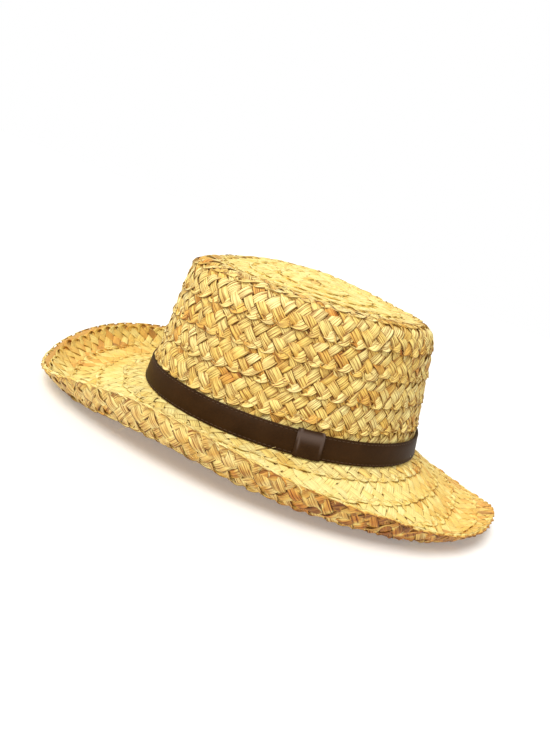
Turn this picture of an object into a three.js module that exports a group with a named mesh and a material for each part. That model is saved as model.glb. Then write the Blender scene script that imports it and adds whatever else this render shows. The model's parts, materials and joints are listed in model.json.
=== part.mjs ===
// Straw hat with a leather band. Millimetres, +Z up, +X towards the front of the hat.
import * as THREE from 'three';

// Crown, measured on the middle of the straw from the headline up
const HEAD_LENGTH = 204.8;
const HEAD_WIDTH = 175.6;
const CROWN_HEIGHT = 93.5;
const WALL_LEAN = 7.6;
const SHOULDER_RADIUS = 12;
const TIP_DOME = 2;
const TIP_FLAT = 0.12;
const TIP_SLOPE = 0.65;
const TIP_BACK = 3;

// Broad swell of the tip on its left side, which stands higher than the right
const SWELL = { x: 4, y: 60, radius: 95, rise: 7.5 };

// Straw
const STRAW = 2.6;
const ROW_STEP = 0.9;
const ROW_EDGE = 0.5;
const CROWN_ROWS = 10;
const BRIM_ROWS = 4;

// Brim by angle from the front, in degrees: slope down at the headline, slope up at the rim, and
// the share of the width where the turn from one to the other starts
const BRIM_WIDTH = 78;
const BRIM_SECTIONS = [
  { angle: 0, fall: 29.5, lift: -16, bend: 0.16 },
  { angle: 45, fall: 34.5, lift: 10, bend: 0.49 },
  { angle: 90, fall: 19.5, lift: 75, bend: 0.48 },
  { angle: 135, fall: 11.5, lift: 70, bend: 0.48 },
  { angle: 180, fall: 17, lift: 42, bend: 0.48 },
  { angle: 225, fall: 5, lift: 88, bend: 0.48 },
  { angle: 270, fall: 19, lift: 75, bend: 0.48 },
  { angle: 315, fall: 27.5, lift: 50, bend: 0.58 },
];
const BEND_STEPS = 80;
const RIM_ROUND = 1;

// Lean of the whole hat, to the back and to its right, when it lies on its brim
const REST_TILT = 3.4;
const REST_ROLL = 1.7;

// Leather strap and its keeper
const GAP = 0.3;
const STRAP_WIDTH = 16.5;
const STRAP_THICK = 1.5;
const STRAP_CHAMFER = 0.5;
const KEEPER_ANGLE = -94;
const KEEPER_WIDTH = 15.5;
const KEEPER_THICK = 1.2;
const KEEPER_OVER = 0.7;
const KEEPER_STEPS = 8;

// Facets: segments round the hat, stations on a brim row and on the shoulder, room round a row edge
const SEGMENTS = 64;
const BRIM_STATIONS = 3;
const SHOULDER_STATIONS = 4;
const STATION_ROOM = 1.5;

// Working values that follow from the sizes above
const rad = THREE.MathUtils.degToRad;
const LEAN = rad(WALL_LEAN);
const HALF_LENGTH = HEAD_LENGTH / 2;
const HALF_WIDTH = HEAD_WIDTH / 2;
const HALF_STRAW = STRAW / 2;
const BASE_LEVEL = HALF_STRAW + GAP;
const SHOULDER_SPAN = SHOULDER_RADIUS * (Math.PI / 2 - LEAN);
const WALL_TOP = CROWN_HEIGHT - SHOULDER_RADIUS * (1 - Math.sin(LEAN));
const WALL_SPAN = (WALL_TOP - BASE_LEVEL) / Math.cos(LEAN);
const TIP_INSET = WALL_TOP * Math.tan(LEAN) + SHOULDER_RADIUS * Math.cos(LEAN);
const TIP_LENGTH = HALF_LENGTH - TIP_INSET;
const TIP_WIDTH = HALF_WIDTH - TIP_INSET;
const TIP_SPAN = (TIP_LENGTH + TIP_WIDTH) / 2;
const CROWN_SPAN = TIP_SPAN + SHOULDER_SPAN + WALL_SPAN;
const CROWN_PITCH = CROWN_SPAN / CROWN_ROWS;
const STRAP_INNER = HALF_STRAW + ROW_STEP + GAP;
const STRAP_OUTER = STRAP_INNER + STRAP_THICK;

/** Middle of the crown's straw at a distance from the tip's centre: half axes, height and normal. */
function crownLine(distance) {
  if (distance <= TIP_SPAN) {
    const part = distance / TIP_SPAN;
    const rise = TIP_DOME * (1 - part * part);
    return { a: TIP_LENGTH * part, b: TIP_WIDTH * part, z: CROWN_HEIGHT + rise, out: 0, up: 1 };
  }
  const turn = Math.min((distance - TIP_SPAN) / SHOULDER_RADIUS, Math.PI / 2 - LEAN);
  const down = Math.max(distance - TIP_SPAN - SHOULDER_SPAN, 0);
  const reach = SHOULDER_RADIUS * Math.sin(turn) + down * Math.sin(LEAN);
  const drop = SHOULDER_RADIUS * (1 - Math.cos(turn)) + down * Math.cos(LEAN);
  return {
    a: TIP_LENGTH + reach,
    b: TIP_WIDTH + reach,
    z: CROWN_HEIGHT - drop,
    out: Math.sin(turn),
    up: Math.cos(turn),
  };
}

/** Stations of the crown's outside: each row rises towards its lower edge and steps back. */
function crownStations() {
  const stations = [];
  for (let row = 1; row < CROWN_ROWS; row++) {
    stations.push({ distance: row * CROWN_PITCH - ROW_EDGE, lift: ROW_STEP });
    stations.push({ distance: row * CROWN_PITCH + ROW_EDGE, lift: 0 });
  }
  for (let i = 0; i <= SHOULDER_STATIONS; i++) {
    const distance = TIP_SPAN + (SHOULDER_SPAN * i) / SHOULDER_STATIONS;
    const part = (distance / CROWN_PITCH) % 1;
    const nearest = Math.min(part, 1 - part) * CROWN_PITCH;
    if (nearest > STATION_ROOM) stations.push({ distance, lift: ROW_STEP * part });
  }
  stations.push({ distance: CROWN_SPAN, lift: ROW_STEP });
  return stations.sort((p, q) => p.distance - q.distance);
}

/** Stations of the crown's inside, from the foot back to the flat middle of the tip. */
function insideStations() {
  const distances = [CROWN_SPAN, TIP_SPAN + SHOULDER_SPAN + WALL_SPAN / 2];
  for (let i = SHOULDER_STATIONS; i >= 0; i--) {
    distances.push(TIP_SPAN + (SHOULDER_SPAN * i) / SHOULDER_STATIONS);
  }
  distances.push(TIP_SPAN * TIP_SLOPE, TIP_SPAN * TIP_FLAT);
  return distances.map((distance) => ({ distance, lift: -STRAW, flat: distance <= TIP_SPAN * TIP_FLAT }));
}

/** How far the swell raises a point of the crown. */
function swellRise(x, y, z) {
  const reach = Math.min(Math.hypot(x - SWELL.x, y - SWELL.y) / SWELL.radius, 1);
  const upper = THREE.MathUtils.smoothstep(z, CROWN_HEIGHT / 2, CROWN_HEIGHT);
  return SWELL.rise * upper * (1 - reach * reach) ** 2;
}

/** Point on an oval round the crown's axis, which carries the tip a little to the back. */
function ovalPoint(a, b, angle, z) {
  return [a * Math.cos(angle) - (TIP_BACK * z) / CROWN_HEIGHT, b * Math.sin(angle), z];
}

/** One point of the crown, off the middle of the straw along its normal; a flat station stays level. */
function crownPoint(angle, { distance, lift, flat }) {
  const line = crownLine(distance);
  const off = HALF_STRAW + lift;
  const height = distance >= CROWN_SPAN ? BASE_LEVEL : line.z + line.up * off;
  const [x, y, z] = ovalPoint(line.a + line.out * off, line.b + line.out * off, angle, height);
  return [x, y, z + (flat ? swellRise(-TIP_BACK, 0, z) : swellRise(x, y, z))];
}

/** Value of one column of the brim table at an angle, eased from row to row. */
function brimColumn(column, angle) {
  const rows = BRIM_SECTIONS.length;
  const place = THREE.MathUtils.euclideanModulo(angle / (2 * Math.PI), 1) * rows;
  const row = Math.floor(place);
  const t = place - row;
  const [p0, p1, p2, p3] = [-1, 0, 1, 2].map((i) => BRIM_SECTIONS[(row + i + rows) % rows][column]);
  const bend = 2 * p0 - 5 * p1 + 4 * p2 - p3;
  const curve = 3 * p1 - p0 - 3 * p2 + p3;
  return p1 + 0.5 * t * (p2 - p0 + t * (bend + t * curve));
}

/** Section of the brim at an angle: its slope by share of the brim's width. */
function brimSection(angle) {
  const fall = rad(brimColumn('fall', angle));
  const lift = rad(brimColumn('lift', angle));
  const bend = brimColumn('bend', angle);
  const slopeAt = (share) => {
    const part = THREE.MathUtils.clamp((share - bend) / (1 - bend), 0, 1);
    const ease = (part + THREE.MathUtils.smoothstep(part, 0, 1)) / 2;
    return share < 0 ? 0 : -fall + (fall + lift) * ease;
  };
  return { angle, slopeAt };
}

/** Middle of the brim's straw along one section: reach and height at even steps of its width. */
function brimLine({ slopeAt }) {
  const line = [{ out: 0, z: 0 }];
  const step = BRIM_WIDTH / BEND_STEPS;
  for (let i = 0; i < BEND_STEPS; i++) {
    const slope = slopeAt((i + 0.5) / BEND_STEPS);
    line.push({ out: line[i].out + step * Math.cos(slope), z: line[i].z + step * Math.sin(slope) });
  }
  return line;
}

/** Stations of the brim from the headline out, stepped on top and underneath. */
function brimStations() {
  const top = [{ distance: -HALF_STRAW, lift: HALF_STRAW }];
  const under = [{ distance: -HALF_STRAW, lift: -HALF_STRAW }];
  const pitch = BRIM_WIDTH / BRIM_ROWS;
  for (let row = 0; row < BRIM_ROWS; row++) {
    const innermost = row === 0;
    const outermost = row === BRIM_ROWS - 1;
    const inner = row * pitch + (innermost ? HALF_STRAW : ROW_EDGE);
    const outer = (row + 1) * pitch - (outermost ? RIM_ROUND : ROW_EDGE);
    for (let i = 0; i <= BRIM_STATIONS; i++) {
      const part = i / BRIM_STATIONS;
      const distance = inner + (outer - inner) * part;
      top.push({ distance, lift: HALF_STRAW + (outermost ? 0 : ROW_STEP * part) });
      under.push({ distance, lift: -HALF_STRAW - (innermost ? 0 : ROW_STEP * (1 - part)) });
    }
  }
  return [...top, { distance: BRIM_WIDTH, lift: 0 }, ...under.reverse()];
}

/** One point of the brim, off the middle of the straw along its normal. */
function brimPoint(section, line, { distance, lift }) {
  const { angle, slopeAt } = section;
  const share = distance / BRIM_WIDTH;
  const slope = slopeAt(share);
  const whole = THREE.MathUtils.clamp(Math.floor(share * BEND_STEPS), 0, BEND_STEPS - 1);
  const beyond = distance - (whole * BRIM_WIDTH) / BEND_STEPS;
  const out = line[whole].out + beyond * Math.cos(slope) - lift * Math.sin(slope);
  const z = line[whole].z + beyond * Math.sin(slope) + lift * Math.cos(slope);
  const across = new THREE.Vector2(Math.cos(angle) / HALF_LENGTH, Math.sin(angle) / HALF_WIDTH);
  across.normalize().multiplyScalar(out);
  return [HALF_LENGTH * Math.cos(angle) + across.x, HALF_WIDTH * Math.sin(angle) + across.y, z];
}

/** One point round the foot of the crown: distance off the wall's middle line, height up the wall. */
function strapPoint(angle, [off, height]) {
  const inset = (BASE_LEVEL + height) * Math.tan(LEAN);
  return ovalPoint(HALF_LENGTH + off - inset, HALF_WIDTH + off - inset, angle, BASE_LEVEL + height);
}

/** Mesh data from points and triangles. */
function geometryOf(points, triangles) {
  const geometry = new THREE.BufferGeometry();
  geometry.setAttribute('position', new THREE.Float32BufferAttribute(points.flat(), 3));
  geometry.setIndex(triangles);
  geometry.computeVertexNormals();
  return geometry;
}

/** Triangles between two neighbouring sections of a sweep. */
function sectionWall(here, next, count, closed) {
  const triangles = [];
  for (let j = 0; j < (closed ? count : count - 1); j++) {
    const k = (j + 1) % count;
    triangles.push(here + j, here + k, next + k, here + j, next + k, next + j);
  }
  return triangles;
}

/** Angles of the whole turn, one a segment. */
function turnAngles() {
  return Array.from({ length: SEGMENTS }, (_, i) => (2 * Math.PI * i) / SEGMENTS);
}

/** Ring swept once round from a closed section. */
function ringGeometry(sectionAt) {
  const sections = turnAngles().map(sectionAt);
  const count = sections[0].length;
  const triangles = sections.flatMap((_, i) =>
    sectionWall(i * count, ((i + 1) % SEGMENTS) * count, count, true));
  return geometryOf(sections.flat(), triangles);
}

/** Cap swept once round from an open section whose two ends close on the axis. */
function capGeometry(sectionAt, firstPole, lastPole) {
  const sections = turnAngles().map(sectionAt);
  const count = sections[0].length;
  const points = [...sections.flat(), firstPole, lastPole];
  const [first, last] = [points.length - 2, points.length - 1];
  const triangles = sections.flatMap((_, i) => {
    const here = i * count;
    const next = ((i + 1) % SEGMENTS) * count;
    const poles = [first, here, next, last, next + count - 1, here + count - 1];
    return [...sectionWall(here, next, count, false), ...poles];
  });
  return geometryOf(points, triangles);
}

/** Short strip swept between two angles from a closed section, capped at both ends. */
function stripGeometry(profile, from, to, steps) {
  const count = profile.length;
  const angles = Array.from({ length: steps + 1 }, (_, i) => from + ((to - from) * i) / steps);
  const points = angles.flatMap((angle) => profile.map((p) => strapPoint(angle, p)));
  const triangles = angles.slice(1).flatMap((_, i) => sectionWall(i * count, (i + 1) * count, count, true));
  const outline = profile.map(([x, y]) => new THREE.Vector2(x, y));
  const end = steps * count;
  for (const [p, q, r] of THREE.ShapeUtils.triangulateShape(outline, [])) {
    triangles.push(p, q, r, end + r, end + q, end + p);
  }
  return geometryOf(points, triangles);
}

/** Hollow crown with its plait rows. */
function crownGeometry() {
  const outside = crownStations();
  const inside = insideStations();
  const stations = [...outside, ...inside];
  const sectionAt = (angle) => stations.map((station) => crownPoint(angle, station));
  const topPole = crownPoint(0, { distance: 0, lift: 0, flat: true });
  const underPole = crownPoint(0, { distance: 0, lift: -STRAW, flat: true });
  underPole[2] = sectionAt(0).at(-1)[2];
  return capGeometry(sectionAt, topPole, underPole);
}

/** Brim ring with its plait rows. */
function brimGeometry() {
  const stations = brimStations();
  return ringGeometry((angle) => {
    const section = brimSection(angle);
    const line = brimLine(section);
    return stations.map((station) => brimPoint(section, line, station));
  });
}

/** Leather strap with its edges broken. */
function strapGeometry() {
  const c = STRAP_CHAMFER;
  const profile = [
    [STRAP_INNER, STRAP_WIDTH],
    [STRAP_OUTER - c, STRAP_WIDTH],
    [STRAP_OUTER, STRAP_WIDTH - c],
    [STRAP_OUTER, c],
    [STRAP_OUTER - c, 0],
    [STRAP_INNER, 0],
  ];
  return ringGeometry((angle) => profile.map((p) => strapPoint(angle, p)));
}

/** Keeper over the strap, folded in over the strap's upper edge. */
function keeperGeometry() {
  const inner = STRAP_OUTER + GAP;
  const outer = inner + KEEPER_THICK;
  const top = STRAP_WIDTH + GAP;
  const crest = top + KEEPER_OVER;
  const c = KEEPER_THICK / 2;
  const profile = [
    [STRAP_INNER + GAP, crest],
    [outer - c, crest],
    [outer, crest - c],
    [outer, c],
    [outer - c, 0],
    [inner, 0],
    [inner, top],
    [STRAP_INNER + GAP, top],
  ];
  const half = KEEPER_WIDTH / 2 / HALF_WIDTH;
  const middle = rad(KEEPER_ANGLE);
  return stripGeometry(profile, middle - half, middle + half, KEEPER_STEPS);
}

/** Named mesh with a material of its own. */
function piece(name, geometry, materialName, color, roughness) {
  const material = new THREE.MeshStandardMaterial({ color, roughness, metalness: 0 });
  material.name = materialName;
  const mesh = new THREE.Mesh(geometry, material);
  mesh.name = name;
  return mesh;
}

const pieces = [
  piece('crown', crownGeometry(), 'straw_crown', 0xdcb468, 0.75),
  piece('brim', brimGeometry(), 'straw_brim', 0xd9ad5e, 0.75),
  piece('band', strapGeometry(), 'leather_strap', 0x3e2d23, 0.5),
  piece('band_keeper', keeperGeometry(), 'leather_keeper', 0x4a3a31, 0.45),
];

const hat = new THREE.Group();
hat.name = 'hat';
hat.add(...pieces);
hat.rotation.set(rad(REST_ROLL), -rad(REST_TILT), 0);

// The origin stands on the floor under the middle of the whole hat
hat.updateMatrixWorld(true);
const box = new THREE.Box3().setFromObject(hat, true);
const middle = box.getCenter(new THREE.Vector3());
hat.position.set(-middle.x, -middle.y, -box.min.z);

const group = new THREE.Group();
group.name = 'straw_hat';
group.add(hat);

export default group;
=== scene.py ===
"""Straw hat with a leather band: raffia plait, strap, keeper and stray fibres, in soft light."""
import json
import logging
import math
from dataclasses import dataclass
from enum import Enum

import bpy
import numpy as np
from mathutils import Matrix, Vector


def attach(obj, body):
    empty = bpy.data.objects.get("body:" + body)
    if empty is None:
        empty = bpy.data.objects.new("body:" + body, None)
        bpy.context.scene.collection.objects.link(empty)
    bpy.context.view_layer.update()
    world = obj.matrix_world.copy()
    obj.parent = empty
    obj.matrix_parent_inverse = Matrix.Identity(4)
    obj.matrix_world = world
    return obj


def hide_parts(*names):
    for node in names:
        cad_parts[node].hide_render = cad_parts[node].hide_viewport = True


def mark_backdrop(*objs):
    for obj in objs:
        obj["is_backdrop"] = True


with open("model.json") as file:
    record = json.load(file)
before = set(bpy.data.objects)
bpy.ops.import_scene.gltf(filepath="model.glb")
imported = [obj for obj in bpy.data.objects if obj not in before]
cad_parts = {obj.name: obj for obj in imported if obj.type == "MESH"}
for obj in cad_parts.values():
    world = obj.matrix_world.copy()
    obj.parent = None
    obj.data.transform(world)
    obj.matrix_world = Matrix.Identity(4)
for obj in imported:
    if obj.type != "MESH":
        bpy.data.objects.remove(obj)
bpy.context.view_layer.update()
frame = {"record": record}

log = logging.getLogger("straw_hat")

# Sizes below are in millimetres and become metres when a mesh is made
MM = 0.001
SEED = 11
BODY = "root"
BAKE_MAP = "OFBake"

Colour = tuple[float, float, float]
Stops = tuple[tuple[float, Colour], ...]


class Part(Enum):
    """Part of the hat, with the node that it stands for and the slot of its material."""

    CROWN = ("crown", "straw_crown")
    BRIM = ("brim", "straw_brim")
    STRAP = ("band", "leather_strap")
    KEEPER = ("band_keeper", "leather_keeper")

    def __init__(self, node: str, slot: str) -> None:
        """Keeps the two names."""
        self.node = node
        self.slot = slot


def smooth(value: np.ndarray, low: float, high: float) -> np.ndarray:
    """Eases from 0 at low to 1 at high.

    Args:
        value: Numbers to ease.
        low: Where the result leaves 0.
        high: Where the result reaches 1.

    Returns:
        The eased numbers.
    """
    part = np.clip((value - low) / (high - low), 0.0, 1.0)
    return part * part * (3.0 - 2.0 * part)


def wander(rng: np.random.Generator, places: np.ndarray, step: float) -> np.ndarray:
    """Smooth random values between -1 and 1 along a line.

    Args:
        rng: Seeded source of the random knots.
        places: Where values are wanted, from 0 up.
        step: Distance between two knots.

    Returns:
        One value for each place.
    """
    knots = rng.uniform(-1.0, 1.0, int(places.max() / step) + 3)
    index = np.floor(places / step).astype(int)
    part = smooth(places / step - index, 0.0, 1.0)
    return knots[index] * (1.0 - part) + knots[index + 1] * part


@dataclass(frozen=True)
class Seat:
    """Where the hat's own frame, centred in its headline, lies in the row frame."""

    origin: Vector
    down: Vector

    @classmethod
    def from_record(cls, record: dict) -> "Seat":
        """Reads the seat from the mount in the mouth of the hat.

        Args:
            record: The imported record.

        Returns:
            The seat.
        """
        mount = next(m for m in record["mounts"] if m["name"] == "head_opening")
        return cls(Vector(mount["pos_m"]), Vector(mount["axis"]))

    def matrix(self) -> Matrix:
        """Matrix from the hat's own frame, in metres, to the row frame."""
        up = -self.down.normalized()
        side = up.cross(Vector((1.0, 0.0, 0.0))).normalized()
        front = side.cross(up)
        turn = Matrix((front, side, up)).transposed()
        return Matrix.Translation(self.origin) @ turn.to_4x4()

    def place(self, points: np.ndarray) -> np.ndarray:
        """Row frame points, in metres, from points in the hat's own frame.

        Args:
            points: Points in millimetres, the last axis x, y and z.

        Returns:
            The placed points.
        """
        matrix = np.array(self.matrix())
        return points * MM @ matrix[:3, :3].T + matrix[:3, 3]


@dataclass(frozen=True)
class BrimRow:
    """Section of the brim at one angle: slopes at the headline and the rim, and the share where it turns."""

    angle: float
    fall: float
    lift: float
    bend: float


@dataclass(frozen=True)
class Swell:
    """Broad rise of the tip, by its centre seen from above."""

    x: float = 4.0
    y: float = 60.0
    radius: float = 95.0
    rise: float = 7.5


@dataclass
class HatForm:
    """Middle surface of the straw from the centre of the tip to the rim."""

    head_length: float = 204.8
    head_width: float = 175.6
    crown_height: float = 93.5
    wall_lean: float = math.radians(7.6)
    shoulder_radius: float = 12.0
    tip_dome: float = 2.0
    tip_back: float = 3.0
    swell: Swell = Swell()
    brim_width: float = 78.0
    corner_round: float = 4.0
    step: float = 0.5
    rows: tuple[BrimRow, ...] = (
        BrimRow(0, 29.5, -16, 0.16),
        BrimRow(45, 34.5, 10, 0.49),
        BrimRow(90, 19.5, 75, 0.48),
        BrimRow(135, 11.5, 70, 0.48),
        BrimRow(180, 17, 42, 0.48),
        BrimRow(225, 5, 88, 0.48),
        BrimRow(270, 19, 75, 0.48),
        BrimRow(315, 27.5, 50, 0.58),
    )

    def __post_init__(self) -> None:
        """Works out the spans that follow from the sizes."""
        lean = self.wall_lean
        self.half_length = self.head_length / 2
        self.half_width = self.head_width / 2
        self.wall_top = self.crown_height - self.shoulder_radius * (1 - math.sin(lean))
        inset = self.wall_top * math.tan(lean) + self.shoulder_radius * math.cos(lean)
        self.tip_length = self.half_length - inset
        self.tip_width = self.half_width - inset
        self.tip_span = (self.tip_length + self.tip_width) / 2
        self.shoulder_span = self.shoulder_radius * (math.pi / 2 - lean)
        self.headline = self.tip_span + self.shoulder_span + self.wall_top / math.cos(lean)
        self.rim = self.headline + self.brim_width

    def crown(self, angles: np.ndarray, distances: np.ndarray) -> np.ndarray:
        """Points of the crown.

        Args:
            angles: Angles from the front.
            distances: Distances from the centre of the tip.

        Returns:
            Points by angle and distance.
        """
        lean = self.wall_lean
        part = np.minimum(distances / self.tip_span, 1.0)
        turn = np.clip((distances - self.tip_span) / self.shoulder_radius, 0.0, math.pi / 2 - lean)
        down = np.maximum(distances - self.tip_span - self.shoulder_span, 0.0)
        reach = self.shoulder_radius * np.sin(turn) + down * math.sin(lean)
        drop = self.shoulder_radius * (1 - np.cos(turn)) + down * math.cos(lean)
        z = self.crown_height + self.tip_dome * (1 - part**2) - drop
        x = np.outer(np.cos(angles), self.tip_length * part + reach)
        y = np.outer(np.sin(angles), self.tip_width * part + reach)
        x = x - self.tip_back * z / self.crown_height
        z = np.broadcast_to(z, x.shape)
        away = np.hypot(x - self.swell.x, y - self.swell.y) / self.swell.radius
        upper = smooth(z, self.crown_height / 2, self.crown_height)
        rise = self.swell.rise * upper * (1 - np.minimum(away, 1.0) ** 2) ** 2
        return np.stack((x, y, z + rise), -1)

    def column(self, name: str, angles: np.ndarray) -> np.ndarray:
        """One column of the brim's rows at any angle, eased from row to row.

        Args:
            name: Column of the rows.
            angles: Angles from the front.

        Returns:
            The column's values.
        """
        values = np.array([getattr(row, name) for row in self.rows])
        place = np.mod(angles / (2 * math.pi), 1.0) * len(values)
        row = np.floor(place).astype(int)
        t = place - row
        p0, p1, p2, p3 = (values[(row + i) % len(values)] for i in (-1, 0, 1, 2))
        bend = 2 * p0 - 5 * p1 + 4 * p2 - p3
        curve = 3 * p1 - p0 - 3 * p2 + p3
        return p1 + 0.5 * t * (p2 - p0 + t * (bend + t * curve))

    def brim(self, angles: np.ndarray, count: int) -> np.ndarray:
        """Points of the brim.

        Args:
            angles: Angles from the front.
            count: Number of even steps from the headline to the rim.

        Returns:
            Points by angle and step, the headline included.
        """
        fall = np.radians(self.column("fall", angles))[:, None]
        lift = np.radians(self.column("lift", angles))[:, None]
        share = (np.arange(count) + 0.5) / count
        bend = self.column("bend", angles)[:, None]
        part = np.clip((share - bend) / (1 - bend), 0.0, 1.0)
        slope = -fall + (fall + lift) * (part + smooth(part, 0.0, 1.0)) / 2
        step = self.brim_width / count
        out = np.pad(np.cumsum(np.cos(slope), 1) * step, ((0, 0), (1, 0)))
        z = np.pad(np.cumsum(np.sin(slope), 1) * step, ((0, 0), (1, 0)))
        across = np.stack((np.cos(angles) / self.half_length, np.sin(angles) / self.half_width), -1)
        across /= np.linalg.norm(across, axis=-1, keepdims=True)
        x = self.half_length * np.cos(angles)[:, None] + across[:, :1] * out
        y = self.half_width * np.sin(angles)[:, None] + across[:, 1:] * out
        return np.stack((x, y, z), -1)

    def grid(self, angles: np.ndarray) -> tuple[np.ndarray, np.ndarray]:
        """Whole surface on a grid, with the corner at the headline rounded.

        Args:
            angles: Angles from the front.

        Returns:
            The distances from the centre of the tip, and the points by angle and distance.
        """
        crown_count = round(self.headline / self.step)
        brim_count = round(self.brim_width / self.step)
        crown_places = np.linspace(0.0, self.headline, crown_count + 1)
        brim_places = np.linspace(self.headline, self.rim, brim_count + 1)
        points = np.concatenate(
            (self.crown(angles, crown_places), self.brim(angles, brim_count)[:, 1:]), 1
        )
        places = np.concatenate((crown_places, brim_places[1:]))
        reach = round(self.corner_round / self.step)
        before, corner, after = (points[:, crown_count + i].copy() for i in (-reach, 0, reach))
        for i in range(-reach, reach + 1):
            t = (i + reach) / (2 * reach)
            arc = (1 - t) ** 2 * before + 2 * t * (1 - t) * corner + t**2 * after
            points[:, crown_count + i] = arc
        return places, points


class Surface:
    """The hat's middle surface in the row frame, looked up by angle and distance."""

    TURN_STEPS = 720

    def __init__(self, form: HatForm, seat: Seat) -> None:
        """Samples the surface and its normals.

        Args:
            form: Sizes of the hat.
            seat: Where the hat lies.
        """
        angles = np.arange(self.TURN_STEPS) * 2 * math.pi / self.TURN_STEPS
        self.distances, points = form.grid(angles)
        points = seat.place(points)
        around = np.roll(points, -1, 0) - np.roll(points, 1, 0)
        outward = np.gradient(points, axis=1)
        normals = np.cross(outward, around)
        normals[:, 0] = normals[:, 1].mean(0)
        normals /= np.linalg.norm(normals, axis=-1, keepdims=True)
        self.points = np.concatenate((points, points[:1]))
        self.normals = np.concatenate((normals, normals[:1]))

    def at(self, angle: np.ndarray, distance: np.ndarray) -> tuple[np.ndarray, np.ndarray]:
        """Points and normals of the surface.

        Args:
            angle: Angles from the front, in radians.
            distance: Distances from the centre of the tip.

        Returns:
            The points, in metres, and the unit normals.
        """
        turn = np.mod(angle / (2 * math.pi), 1.0) * self.TURN_STEPS
        column = np.interp(distance, self.distances, np.arange(len(self.distances)))
        i = np.minimum(turn.astype(int), self.TURN_STEPS - 1)
        j = np.minimum(column.astype(int), len(self.distances) - 2)
        s = (turn - i)[..., None]
        t = (column - j)[..., None]
        found = []
        for table in (self.points, self.normals):
            near = table[i, j] * (1 - t) + table[i, j + 1] * t
            far = table[i + 1, j] * (1 - t) + table[i + 1, j + 1] * t
            found.append(near * (1 - s) + far * s)
        point, normal = found
        return point, normal / np.linalg.norm(normal, axis=-1, keepdims=True)


def mesh_object(name: str, points: np.ndarray, faces: list[tuple[int, ...]]) -> bpy.types.Object:
    """New mesh object from arrays, shaded smooth.

    Args:
        name: Name of the piece.
        points: Vertices in the row frame, in metres.
        faces: Vertex numbers of each face.

    Returns:
        The linked object.
    """
    mesh = bpy.data.meshes.new(name)
    mesh.from_pydata(points.tolist(), [], faces)
    mesh.polygons.foreach_set("use_smooth", np.ones(len(mesh.polygons), bool))
    piece = bpy.data.objects.new(name, mesh)
    bpy.context.scene.collection.objects.link(piece)
    return piece


def tube_faces(first: int, stations: int, ring: int) -> list[tuple[int, ...]]:
    """Faces of a closed tube: its quads, then its two end caps.

    Args:
        first: Number of the tube's first vertex.
        stations: Number of rings.
        ring: Vertices in a ring.

    Returns:
        The faces, wound outwards for rings that turn against the clock seen from the far end.
    """
    faces = []
    for i in range(stations - 1):
        here = first + i * ring
        for j in range(ring):
            k = (j + 1) % ring
            faces.append((here + j, here + k, here + ring + k, here + ring + j))
    last = first + (stations - 1) * ring
    faces.append(tuple(first + j for j in reversed(range(ring))))
    faces.append(tuple(last + j for j in range(ring)))
    return faces


def tubes_object(
    name: str, paths: np.ndarray, normals: np.ndarray, radii: np.ndarray, sides: int
) -> bpy.types.Object:
    """Many thin closed tubes joined in one mesh.

    Args:
        name: Name of the piece.
        paths: Points by tube and station, in metres.
        normals: One direction for each tube, off its path.
        radii: Radius by tube and station, in metres.
        sides: Sides of a tube.

    Returns:
        The linked object.
    """
    ahead = np.gradient(paths, axis=1)
    ahead /= np.linalg.norm(ahead, axis=-1, keepdims=True)
    side = np.cross(ahead, normals[:, None])
    side /= np.linalg.norm(side, axis=-1, keepdims=True)
    up = np.cross(side, ahead)
    turn = (np.arange(sides) * 2 * math.pi / sides)[:, None]
    spokes = np.cos(turn) * up[:, :, None] + np.sin(turn) * side[:, :, None]
    rings = paths[:, :, None] + radii[:, :, None, None] * spokes
    tubes, stations = radii.shape
    faces = []
    for tube in range(tubes):
        faces.extend(tube_faces(tube * stations * sides, stations, sides))
    return mesh_object(name, rings.reshape(-1, 3), faces)


@dataclass(frozen=True)
class Course:
    """Stretch of the spiral plait that makes one piece, in turns counted back from its end."""

    name: str
    part: Part
    first_turn: float
    last_turn: float


@dataclass(frozen=True)
class Lay:
    """Where places of the plait are on the hat, from 0 to 1, how calm they lie and how they are tinted, with
    painted light paling the brim's near side.
    """

    on_tip: np.ndarray
    on_brim: np.ndarray
    on_near_side: np.ndarray
    # Where the painted shade under the front brim lies
    under_shade_front: np.ndarray
    calm: np.ndarray
    tint_and_painted_light: np.ndarray


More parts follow.
